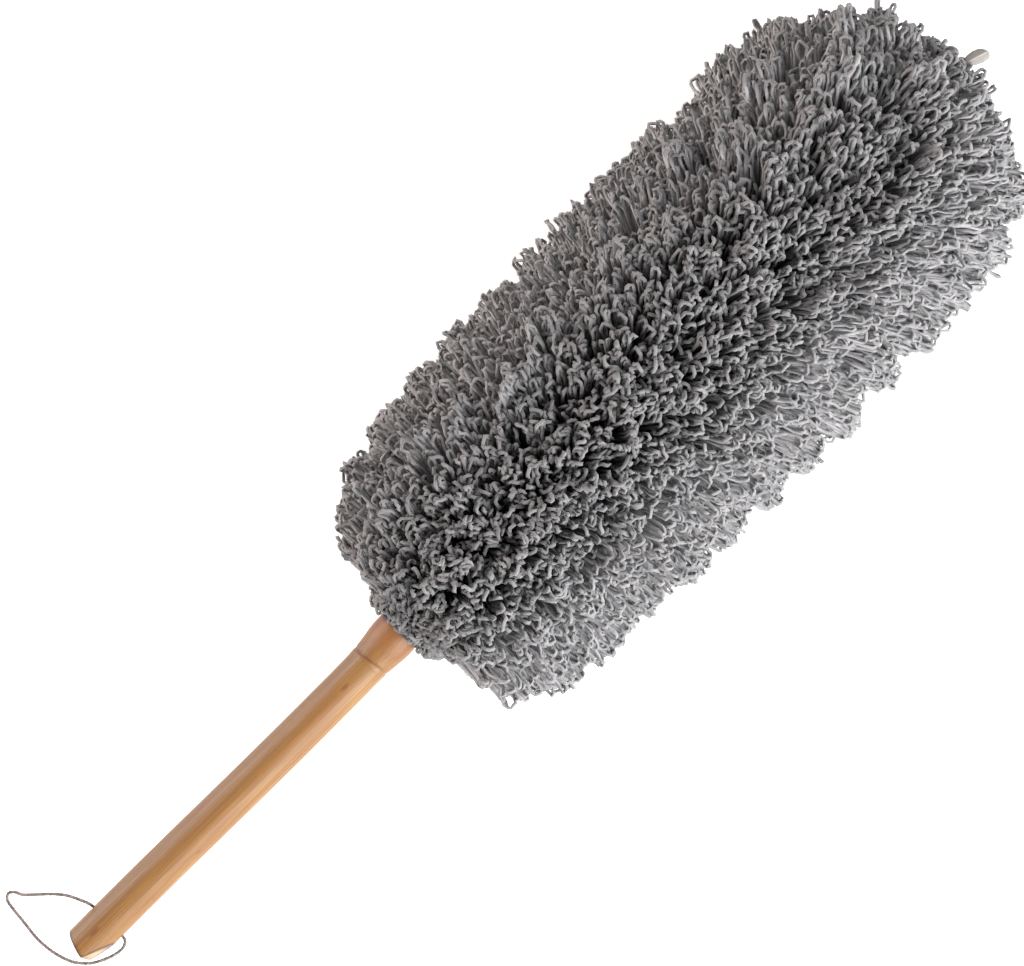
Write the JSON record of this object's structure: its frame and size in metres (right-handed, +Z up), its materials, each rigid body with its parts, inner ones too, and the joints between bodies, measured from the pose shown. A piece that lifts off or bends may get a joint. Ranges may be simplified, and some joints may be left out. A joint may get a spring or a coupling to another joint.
{
  "type": "microfiber duster",
  "caption": "Microfibre duster: a barrel-shaped looped-pile sleeve on a padded core, with a bamboo cane handle, hang cord and tip tab.",
  "frame": {"origin": "on the resting surface, under the middle of the duster's length", "axes": "+X along the duster from the butt of the cane to the tip tab, +Z up from the surface it lies on"},
  "size_m": [0.6124, 0.1694, 0.1691],
  "materials": {
    "bamboo": "satin",
    "pale_wood": "matte",
    "steel": "satin",
    "foam": "matte",
    "elastic": "matte",
    "pile": "matte",
    "backing": "matte",
    "tape": "matte",
    "thread": "matte",
    "twine": "matte"
  },
  "bodies": {
    "handle": {"bamboo_cane": "bamboo", "core_dowel": "pale_wood", "cross_pin": "steel", "core_padding": "foam", "end_button": "pale_wood", "hang_cord": "twine", "cord_knot": "twine"},
    "sleeve": {"hem_band": "elastic", "pile_row_01": "pile", "pile_row_02": "pile", "pile_row_03": "pile", "pile_row_04": "pile", "pile_row_05": "pile", "pile_row_06": "pile", "pile_row_07": "pile", "pile_row_08": "pile", "pile_row_09": "pile", "pile_row_10": "pile", "pile_row_11": "pile", "pile_row_12": "pile", "pile_row_13": "pile", "pile_row_14": "pile", "pile_row_15": "pile", "pile_row_16": "pile", "sleeve_closure": "backing", "tip_tab": "tape", "tab_stitching": "thread"}
  },
  "joints": [
    {"name": "sleeve_pull_off", "type": "slide", "parent": "handle", "child": "sleeve", "axis": [1, 0, 0], "range_m": [0, 0.37]}
  ]
}
